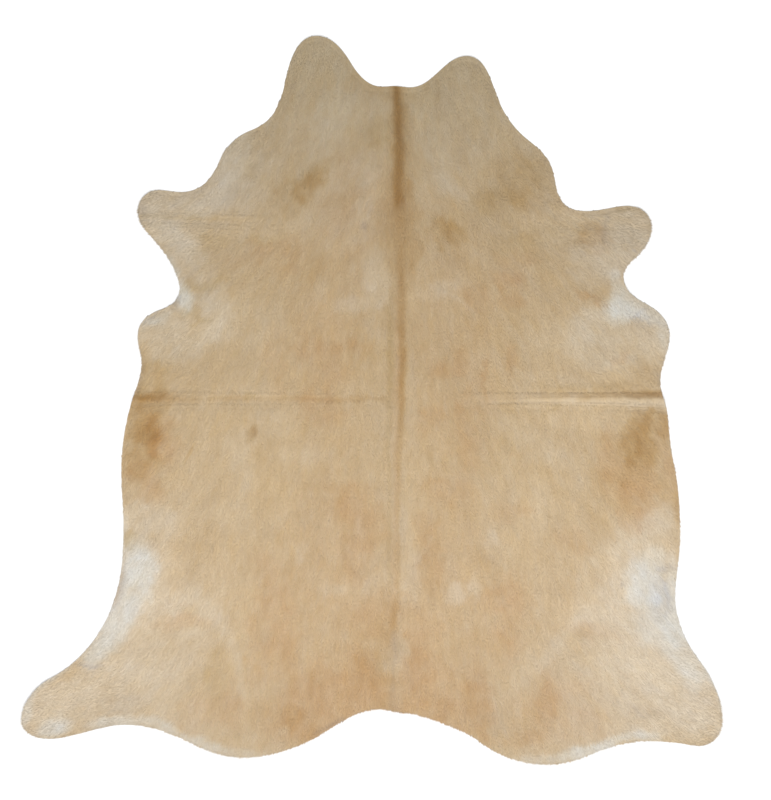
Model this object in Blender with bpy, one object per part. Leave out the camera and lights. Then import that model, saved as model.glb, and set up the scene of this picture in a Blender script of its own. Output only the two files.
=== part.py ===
"""A hair-on cowhide rug lying flat on a floor.

It is one sheet: the outline of the whole skin with its neck flaps, legs, flanks and rump, the creases
that it keeps from having been folded up, and the places where its edge lifts a little off the floor.
"""

import math

import bmesh
import bpy
import numpy as np
from mathutils import Vector
from mathutils.geometry import delaunay_2d_cdt, interpolate_bezier

# Driving dimensions, in metres. The floor is z = 0, +Y is the neck end, and +X is the right-hand side
# for someone who looks down on the hair side with the neck at the top.
HIDE_WIDTH = 2.102
HIDE_LENGTH = 2.187
SKIN_THICKNESS = 0.0022
COAT_THICKNESS = 0.0018
EDGE_ROUND = 0.0014

# Spacing of the mesh, in metres
RIM_STEP = 0.013
GRID_STEP = 0.045
FOLD_STEP = 0.038
CURVE_STEPS = 40
SAME_POINT = 1e-6
# A grid point this many steps from the rim or a fold is left out, so that no thin triangles form there.
RIM_CLEARANCE = 0.55
FOLD_CLEARANCE = 0.42
# Where the rows of points lie across a fold, as shares of its half width
FOLD_ROWS = (-1.0, -0.5, 0.0, 0.5, 1.0)

# The outline, anticlockwise seen from above. A row is a point on the edge and the way the edge heads
# there: x and y in metres, and degrees from +X towards +Y. Between rows the edge turns evenly.
OUTLINE = {
    "left neck flap": (
        (-0.164, 1.093, 180),
        (-0.258, 0.965, 258),
        (-0.307, 0.845, 227),
    ),
    "left cheek": (
        (-0.364, 0.809, 201),
        (-0.456, 0.716, 249),
        (-0.520, 0.637, 208),
    ),
    "left foreleg": (
        (-0.570, 0.625, 180),
        (-0.636, 0.631, 180),
        (-0.700, 0.566, 270),
        (-0.650, 0.477, 313),
        (-0.617, 0.436, 302),
    ),
    "left armpit": (
        (-0.575, 0.329, 270),
        (-0.634, 0.272, 197),
    ),
    "left elbow": (
        (-0.701, 0.193, 270),
        (-0.689, 0.113, 270),
    ),
    "left flank": (
        (-0.711, 0.018, 251),
        (-0.750, -0.215, 270),
        (-0.743, -0.379, 270),
        (-0.757, -0.549, 257),
    ),
    "left hind leg": (
        (-0.823, -0.707, 236),
        (-0.952, -0.828, 209),
        (-1.003, -0.864, 228),
        (-1.049, -0.959, 270),
        (-0.965, -1.017, 0),
        (-0.854, -0.996, 15),
    ),
    "left rump": (
        (-0.732, -0.975, 0),
        (-0.545, -1.027, 333),
        (-0.381, -1.072, 0),
        (-0.183, -1.022, 25),
    ),
    "tail root": (
        (-0.124, -0.987, 32),
        (0.021, -0.928, 0),
        (0.080, -0.937, 352),
        (0.137, -0.945, 344),
    ),
    "right rump": (
        (0.292, -1.005, 333),
        (0.329, -1.030, 324),
        (0.523, -1.093, 0),
        (0.655, -1.064, 23),
        (0.823, -1.024, 0),
    ),
    "right hind leg": (
        (0.923, -1.030, 353),
        (0.981, -1.038, 0),
        (1.050, -0.960, 90),
        (0.979, -0.776, 127),
    ),
    "right flank": (
        (0.910, -0.587, 90),
        (0.925, -0.409, 90),
        (0.905, -0.186, 103),
        (0.892, -0.095, 94),
        (0.879, -0.009, 108),
    ),
    "right elbow": (
        (0.865, 0.055, 90),
        (0.893, 0.193, 90),
    ),
    "right armpit": (
        (0.823, 0.290, 153),
        (0.755, 0.368, 90),
        (0.794, 0.429, 42),
    ),
    "right foreleg": (
        (0.839, 0.516, 90),
        (0.766, 0.584, 180),
        (0.708, 0.576, 191),
        (0.646, 0.568, 180),
        (0.581, 0.585, 141),
    ),
    "right cheek": (
        (0.550, 0.658, 101),
        (0.530, 0.720, 121),
        (0.470, 0.781, 142),
    ),
    "right neck flap": (
        (0.372, 0.926, 108),
        (0.285, 1.033, 180),
        (0.198, 0.984, 223),
    ),
    "neck": (
        (0.117, 0.939, 180),
        (0.067, 0.943, 180),
        (0.031, 0.941, 180),
        (-0.059, 1.010, 121),
    ),
}

# Folds that stand up as soft ridges. A row is a station along the fold: x, y, half width and height.
FOLDS = {
    "cross fold, right half": (
        (0.240, 0.004, 0.018, 0.0),
        (0.500, 0.006, 0.020, 0.0020),
        (0.720, 0.005, 0.024, 0.0048),
        (0.886, 0.002, 0.028, 0.0070),
    ),
    "cross fold, left half": (
        (0.020, 0.002, 0.016, 0.0),
        (-0.150, 0.004, 0.018, 0.0007),
        (-0.500, 0.006, 0.020, 0.0009),
        (-0.640, 0.006, 0.026, 0.0026),
        (-0.716, 0.004, 0.030, 0.0048),
    ),
    "spine": (
        (0.078, 0.938, 0.022, 0.0014),
        (0.080, 0.560, 0.024, 0.0018),
        (0.074, 0.240, 0.022, 0.0026),
        (0.068, -0.120, 0.020, 0.0022),
        (0.064, -0.480, 0.020, 0.0014),
        (0.066, -0.760, 0.020, 0.0),
    ),
    "left foreleg crease": (
        (-0.690, 0.546, 0.018, 0.0032),
        (-0.480, 0.543, 0.018, 0.0015),
        (-0.270, 0.536, 0.016, 0.0),
    ),
    "right foreleg crease": (
        (0.520, 0.492, 0.024, 0.0),
        (0.650, 0.498, 0.028, 0.0030),
        (0.760, 0.492, 0.028, 0.0016),
    ),
}

# Places where the skin lifts off the floor in a low swell: x, y, how far it reaches and its height.
SWELLS = {
    "left neck flap tip": (-0.175, 1.120, 0.150, 0.0040),
    "right neck flap tip": (0.300, 1.055, 0.130, 0.0030),
    "left cheek edge": (-0.470, 0.760, 0.130, 0.0025),
    "left foreleg tip": (-0.725, 0.585, 0.150, 0.0050),
    "left armpit gusset": (-0.560, 0.260, 0.110, 0.0035),
    "left elbow": (-0.730, 0.180, 0.110, 0.0030),
    "left flank edge": (-0.790, -0.430, 0.180, 0.0030),
    "left hind leg tip": (-1.075, -0.930, 0.210, 0.0060),
    "left rump edge": (-0.390, -1.120, 0.210, 0.0035),
    "right rump edge": (0.530, -1.150, 0.220, 0.0035),
    "right hind leg tip": (1.080, -0.985, 0.220, 0.0055),
    "right flank fold": (0.950, -0.498, 0.120, 0.0030),
    "right elbow": (0.925, 0.175, 0.120, 0.0030),
    "right armpit gusset": (0.745, 0.320, 0.110, 0.0030),
    "right foreleg tip": (0.870, 0.540, 0.140, 0.0045),
}

# Colour (red, green, blue as light), roughness and metallic value of the coat
CARAMEL = (0.55, 0.42, 0.26)
COAT_ROUGHNESS = 0.8
# An edge that turns more than this, in degrees, is drawn sharp.
SHARP_ANGLE = 40


def clear_scene():
    """Removes every object that the file opened with."""
    for thing in list(bpy.data.objects):
        bpy.data.objects.remove(thing, do_unlink=True)


def curve_between(start, end):
    """Points from one outline row up to the next, on a Bezier curve that bends like an arc."""
    turn = math.radians((end[2] - start[2] + 180) % 360 - 180)
    first, last = Vector(start[:2]), Vector(end[:2])
    handle = (last - first).length / (3 * math.cos(turn / 4) ** 2)
    leaving = Vector((math.cos(math.radians(start[2])), math.sin(math.radians(start[2]))))
    arriving = Vector((math.cos(math.radians(end[2])), math.sin(math.radians(end[2]))))
    points = interpolate_bezier(first, first + leaving * handle, last - arriving * handle, last, CURVE_STEPS)
    return [tuple(point) for point in points[:-1]]


def smooth_outline():
    """The whole edge as closely spaced points, sized and centred to the driving dimensions."""
    rows = [row for stretch in OUTLINE.values() for row in stretch]
    points = []
    for start, end in zip(rows, rows[1:] + rows[:1]):
        points += curve_between(start, end)
    points = np.array(points)
    low, high = points.min(axis=0), points.max(axis=0)
    return (points - (low + high) / 2) * (np.array([HIDE_WIDTH, HIDE_LENGTH]) / (high - low))


def evenly_spaced(points, step):
    """The closed line through the points, walked in equal steps."""
    loop = np.vstack([points, points[:1]])
    along = np.concatenate([[0.0], np.cumsum(np.linalg.norm(np.diff(loop, axis=0), axis=1))])
    stops = np.linspace(0.0, along[-1], round(along[-1] / step), endpoint=False)
    return np.column_stack([np.interp(stops, along, loop[:, axis]) for axis in (0, 1)])


def station_line(rows, step):
    """The stations of a fold joined by straight runs, with a row of values every step."""
    rows = np.array(rows)
    along = np.concatenate([[0.0], np.cumsum(np.linalg.norm(np.diff(rows[:, :2], axis=0), axis=1))])
    stops = np.linspace(0.0, along[-1], round(along[-1] / step) + 1)
    return np.column_stack([np.interp(stops, along, rows[:, column]) for column in range(rows.shape[1])])


def fold_points(rows):
    """Rows of points along a fold, so that its crest and its feet fall on edges of the mesh."""
    line = station_line(rows, FOLD_STEP)
    heading = np.gradient(line[:, :2], axis=0)
    across = np.column_stack([-heading[:, 1], heading[:, 0]]) / np.linalg.norm(heading, axis=1)[:, None]
    return np.vstack([line[:, :2] + across * line[:, 2:3] * share for share in FOLD_ROWS])


def fold_height(points, rows):
    """Height of one fold over each point: a rounded crest that runs out at both feet."""
    rows = np.array(rows)
    height = np.zeros(len(points))
    for start, end in zip(rows[:-1], rows[1:]):
        run = end[:2] - start[:2]
        share = np.clip((points - start[:2]) @ run / (run @ run), 0.0, 1.0)
        nearest = start + share[:, None] * (end - start)
        away = np.linalg.norm(points - nearest[:, :2], axis=1) / nearest[:, 2]
        crest = nearest[:, 3] * np.cos(np.minimum(away, 1.0) * math.pi / 2) ** 2
        height = np.maximum(height, crest)
    return height


def swell_height(points, swell):
    """Height of one swell over each point: highest at its centre and level with the floor at its reach."""
    x, y, reach, height = swell
    away = np.linalg.norm(points - (x, y), axis=1) / reach
    return height * np.cos(np.minimum(away, 1.0) * math.pi / 2) ** 2


def underside_height(points):
    """How far the flesh side is off the floor at each point."""
    height = np.zeros(len(points))
    for rows in FOLDS.values():
        height += fold_height(points, rows)
    for swell in SWELLS.values():
        height += swell_height(points, swell)
    return height


def inside(points, outline):
    """Which points lie within the outline, by counting the edges that a line towards +X crosses."""
    start, end = outline, np.roll(outline, -1, axis=0)
    x, y = points[:, :1], points[:, 1:]
    straddles = (start[:, 1] > y) != (end[:, 1] > y)
    rise = np.where(end[:, 1] == start[:, 1], 1.0, end[:, 1] - start[:, 1])
    crossing = start[:, 0] + (y - start[:, 1]) * (end[:, 0] - start[:, 0]) / rise
    return (straddles & (x < crossing)).sum(axis=1) % 2 == 1


def distance_to(points, others):
    """Distance from each point to the nearest of the others."""
    return np.array([np.linalg.norm(others - point, axis=1).min() for point in points])


def grid_points():
    """A staggered grid over the hide's rectangle."""
    rise = GRID_STEP * math.sqrt(3) / 2
    rows = np.arange(-HIDE_LENGTH / 2, HIDE_LENGTH / 2, rise)
    columns = np.arange(-HIDE_WIDTH / 2, HIDE_WIDTH / 2, GRID_STEP)
    return np.vstack([
        np.column_stack([columns + GRID_STEP / 2 * (index % 2), np.full(len(columns), y)])
        for index, y in enumerate(rows)
    ])


def inner_points(rim):
    """Points inside the edge: along the folds, and on a grid everywhere else."""
    folds = np.vstack([fold_points(rows) for rows in FOLDS.values()])
    folds = folds[inside(folds, rim)]
    folds = folds[distance_to(folds, rim) > RIM_CLEARANCE * RIM_STEP]
    grid = grid_points()
    grid = grid[inside(grid, rim)]
    grid = grid[distance_to(grid, rim) > RIM_CLEARANCE * GRID_STEP]
    grid = grid[distance_to(grid, folds) > FOLD_CLEARANCE * GRID_STEP]
    return np.vstack([folds, grid])


def flesh_side():
    """The underside as a bmesh: a triangulated sheet within the outline, lifted at folds and swells."""
    rim = evenly_spaced(smooth_outline(), RIM_STEP)
    points = np.vstack([rim, inner_points(rim)])
    keep_inside = 1
    corners, _, faces, *_ = delaunay_2d_cdt(
        [Vector(point) for point in points], [], [list(range(len(rim)))], keep_inside, SAME_POINT
    )
    flat = np.array([tuple(corner) for corner in corners])
    sheet = bmesh.new()
    verts = [sheet.verts.new((x, y, z)) for (x, y), z in zip(flat, underside_height(flat))]
    for face in faces:
        sheet.faces.new([verts[index] for index in face])
    return sheet


def thicken(sheet, thickness):
    """Extrudes the sheet upwards into one closed body, and returns the edges of its upper rim."""
    raised = bmesh.ops.extrude_face_region(sheet, geom=sheet.faces[:])["geom"]
    upper = {element for element in raised if isinstance(element, bmesh.types.BMVert)}
    bmesh.ops.translate(sheet, verts=list(upper), vec=(0.0, 0.0, thickness))
    bmesh.ops.recalc_face_normals(sheet, faces=sheet.faces[:])
    return [
        edge for edge in sheet.edges
        if upper.issuperset(edge.verts) and any(not upper.issuperset(face.verts) for face in edge.link_faces)
    ]


def coat_material():
    """The pale caramel of the coat, dull and not metallic."""
    material = bpy.data.materials.new("caramel coat")
    material.use_nodes = True
    shader = material.node_tree.nodes["Principled BSDF"]
    shader.inputs["Base Color"].default_value = (*CARAMEL, 1.0)
    shader.inputs["Roughness"].default_value = COAT_ROUGHNESS
    shader.inputs["Metallic"].default_value = 0.0
    return material


def make_hide():
    """The hide as one closed solid that lies on the floor."""
    sheet = flesh_side()
    upper_rim = thicken(sheet, SKIN_THICKNESS + COAT_THICKNESS)
    bmesh.ops.bevel(sheet, geom=upper_rim, offset=EDGE_ROUND, segments=1, affect="EDGES")
    bmesh.ops.triangulate(sheet, faces=sheet.faces[:])
    mesh = bpy.data.meshes.new("hide")
    sheet.to_mesh(mesh)
    sheet.free()
    mesh.shade_smooth()
    mesh.set_sharp_from_angle(angle=math.radians(SHARP_ANGLE))
    mesh.materials.append(coat_material())
    hide = bpy.data.objects.new("hide", mesh)
    bpy.context.scene.collection.objects.link(hide)
    return hide


clear_scene()
make_hide()
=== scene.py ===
"""Looks of a hair-on cowhide rug: a thin skin on its folds, and a coat of short flat-lying locks."""

import math

import bmesh
import bpy
import numpy as np
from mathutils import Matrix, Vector, kdtree
from mathutils.geometry import delaunay_2d_cdt


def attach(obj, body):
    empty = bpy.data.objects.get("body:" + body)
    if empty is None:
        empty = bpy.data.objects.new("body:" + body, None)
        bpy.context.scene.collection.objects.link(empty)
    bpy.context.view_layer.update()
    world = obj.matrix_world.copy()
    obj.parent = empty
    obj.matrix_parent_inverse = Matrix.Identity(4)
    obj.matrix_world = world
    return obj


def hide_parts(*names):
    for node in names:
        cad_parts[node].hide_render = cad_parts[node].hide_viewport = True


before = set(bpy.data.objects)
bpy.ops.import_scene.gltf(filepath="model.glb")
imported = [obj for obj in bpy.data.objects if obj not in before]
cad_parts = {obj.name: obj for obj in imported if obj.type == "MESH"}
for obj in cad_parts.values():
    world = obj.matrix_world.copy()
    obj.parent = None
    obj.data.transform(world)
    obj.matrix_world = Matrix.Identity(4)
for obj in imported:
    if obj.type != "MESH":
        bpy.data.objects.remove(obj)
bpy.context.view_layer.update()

# The skin, in metres and square metres. Its rim stands in a little from the outline, which the tips of
# the hair reach. The steps are how far apart its points are.
SKIN_THICKNESS = 0.0022
RIM_INSET = 0.0026
RIM_BULGE = 0.0005
RIM_STEP = 0.0070
TOP_STEP = 0.0084
FOLD_STEP = 0.0036
UNDERSIDE_STEP = 0.022
FLAT_AREA = 3.03

# Meshing: how many fold steps the inner points keep off the rim, how close in metres two points are one,
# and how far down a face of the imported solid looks, from 0 to -1, to count as its underside
CLEARANCE = 0.55
SAME_CORNER = 1e-6
SAME_POINT = 1e-7
FACING_DOWN = -0.7

# What counts as on a fold: its half width times this, where it is higher than this, in metres
FOOT_REACH = 1.3
LEAST_HEIGHT = 0.0001

# The locks of hair: how many the flat area takes before more are added on the folds and at the rim; in
# metres, the range of their length, width and rise at the tip, how far their roots are sunk in the skin,
# how much more where a fold cuts them short, and their ridge's height; and its place along the length
LOCK_COUNT = 178_000
LOCK_LENGTH = (0.015, 0.026)
LOCK_WIDTH = (0.0022, 0.0036)
LOCK_RISE = (0.0005, 0.0010)
LOCK_SUNK = 0.0003
FOLD_SUNK = 0.0008
RIDGE_HEIGHT = 0.00022
RIDGE_PLACE = 0.42

# Where the locks grow: how far each is moved at random and how far apart the folds' extra ones are, as
# shares of the spacing; in metres, how far apart the rim's extra ones are and how far in from it; a seed
JITTER = 0.45
FOLD_CLOSER = 0.85
EDGE_STEP = 0.0016
EDGE_INSET = (0.0004, 0.0050)
LOCK_SEED = 7

# How locks are cut short: in metres, how far their tips may pass the outline, the least length left, and
# how far the skin may fall away below a straight lock or rise through it; the least slope towards the
# rim; the step in metres of the line that tips are held against; how many rounds; and next to nothing
OVERHANG = -0.0006
LEAST_LENGTH = 0.007
MOST_GAP = 0.0002
MOST_SUNK = 0.0005
LEAST_SLOPE = 0.35
RIM_CHECK_STEP = 0.003
CUT_ROUNDS = 3
TINY = 1e-9

# How locks differ: the spread of their turn in degrees, of how light they are and of how warm, in levels
# of 255; what warmer does to red, green and blue; how light the root's two corners, the ridge and the
# tip are; and the range of the numbers that tell their strands apart. The last is the coat's pieces.
LOCK_TURN = 6
LOCK_SHADE = 1.2
LOCK_WARMTH = 0.7
WARMER = (0.5, -0.2, -0.9)
POINT_SHADES = (0.97, 0.97, 0.99, 1.03)
STRAND_RANGE = 100
COAT_PIECES = 5

# Folds that stand up as soft ridges. A row is a station along the fold: x, y, half width and height.
FOLDS = {
    "cross fold, right half": (
        (0.24, 0.004, 0.018, 0.0),
        (0.5, 0.006, 0.02, 0.002),
        (0.72, 0.005, 0.024, 0.0048),
        (0.886, 0.002, 0.028, 0.007),
    ),
    "cross fold, left half": (
        (0.02, 0.002, 0.016, 0.0),
        (-0.15, 0.004, 0.018, 0.0007),
        (-0.5, 0.006, 0.02, 0.0009),
        (-0.64, 0.006, 0.026, 0.0026),
        (-0.716, 0.004, 0.03, 0.0048),
    ),
    "spine": (
        (0.078, 0.938, 0.022, 0.0014),
        (0.08, 0.56, 0.024, 0.0018),
        (0.074, 0.24, 0.022, 0.0026),
        (0.068, -0.12, 0.02, 0.0022),
        (0.064, -0.48, 0.02, 0.0014),
        (0.066, -0.76, 0.02, 0.0),
    ),
    "left foreleg crease": (
        (-0.69, 0.546, 0.018, 0.0032),
        (-0.48, 0.543, 0.018, 0.0015),
        (-0.27, 0.536, 0.016, 0.0),
    ),
    "right foreleg crease": (
        (0.52, 0.492, 0.024, 0.0),
        (0.65, 0.498, 0.028, 0.003),
        (0.76, 0.492, 0.028, 0.0016),
    ),
}

# Places where the skin lifts off the floor in a low swell: x, y, how far it reaches and its height.
SWELLS = {
    "left neck flap tip": (-0.175, 1.12, 0.15, 0.004),
    "right neck flap tip": (0.3, 1.055, 0.13, 0.003),
    "left cheek edge": (-0.47, 0.76, 0.13, 0.0025),
    "left foreleg tip": (-0.725, 0.585, 0.15, 0.005),
    "left armpit gusset": (-0.56, 0.26, 0.11, 0.0035),
    "left elbow": (-0.73, 0.18, 0.11, 0.003),
    "left flank edge": (-0.79, -0.43, 0.18, 0.003),
    "left hind leg tip": (-1.075, -0.93, 0.21, 0.006),
    "left rump edge": (-0.39, -1.12, 0.21, 0.0035),
    "right rump edge": (0.53, -1.15, 0.22, 0.0035),
    "right hind leg tip": (1.08, -0.985, 0.22, 0.0055),
    "right flank fold": (0.95, -0.498, 0.12, 0.003),
    "right elbow": (0.925, 0.175, 0.12, 0.003),
    "right armpit gusset": (0.745, 0.32, 0.11, 0.003),
    "right foreleg tip": (0.87, 0.54, 0.14, 0.0045),
}

# How the hair lies. A row is a place, as its distance from the spine and its y, in metres, and how far
# the hair there turns outwards from straight down the back, in degrees. Both sides mirror each other.
# Waves turn it a little more: by how many degrees, over what size in metres, and a seed. The blend, in
# square metres, keeps a place from ruling alone.
SPINE_X = 0.070
TURN_BLEND = 0.004
HAIR_WAVES = ((9, 0.110, 11), (8, 0.022, 12))
HAIR_TURNS = (
    (0.0, 0.9, 0),
    (0.0, 0.4, 0),
    (0.0, 0.0, 0),
    (0.0, -0.4, 0),
    (0.0, -0.9, 0),
    (0.25, 0.95, 14),
    (0.25, 0.7, 20),
    (0.5, 0.7, 38),
    (0.4, 0.5, 26),
    (0.62, 0.53, 62),
    (0.78, 0.53, 84),
    (0.66, 0.34, 44),
    (0.35, 0.2, 16),
    (0.78, 0.12, 42),
    (0.4, -0.1, 14),
    (0.8, -0.15, 34),
    (0.35, -0.5, 10),
    (0.8, -0.5, 32),
    (0.35, -0.85, 8),
    (0.65, -0.78, 34),
    (0.9, -0.88, 62),
    (1.02, -0.94, 72),
    (0.5, -1.02, 14),
)

# The coat's colour from the neck end to the rump; how it grows lighter towards the rump is painted
# light, as if falling from the tail end: y in metres, then red, green and blue from 0 to 255 as they
# show in daylight
COAT_BANDS = (
    (1.05, (169, 152, 123)),
    (0.6, (183, 161, 128)),
    (0.2, (193, 169, 133)),
    (-0.2, (201, 176, 139)),
    (-0.6, (207, 182, 146)),
    (-1.05, (204, 180, 145)),
)

# How far each tone moves the coat's colour at full strength: red, green and blue
TONES = {
    "umber": (-37, -47, -57),
    "brown": (-18, -28, -40),
    "rust": (-8, -18, -24),
    "olive": (-12, -15, -22),
    "slate": (-18, -15, -7),
    "cream": (9, 10, 11),
    "pale": (10, 17, 27),
    "white": (15, 34, 58),
}

# How far the edges of each tone's patches wander, in metres, and how much the strength varies inside
# them. The edges wander over a wide and a fine size, the fine one by a share, and those of stripes by one
# reach. The strength varies over its own size, around a share of what the patch says.
WANDER_SIZES = (0.050, 0.016)
WANDER_SEEDS = (21, 23)
FINE_SHARE = 0.60
STRIPE_WANDER = 0.004
BREAK_SIZE = 0.026
BREAK_SEED = 25
BREAK_MIDDLE = 0.95
RAGGEDNESS = {
    "umber": (0.012, 0.35),
    "brown": (0.016, 0.3),
    "rust": (0.018, 0.4),
    "olive": (0.018, 0.4),
    "slate": (0.008, 0.25),
    "cream": (0.012, 0.25),
    "pale": (0.012, 0.25),
    "white": (0.009, 0.1),
}

# A patch or a stripe has faded out at this many times its half width
FADED_OUT = 1.4

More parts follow.
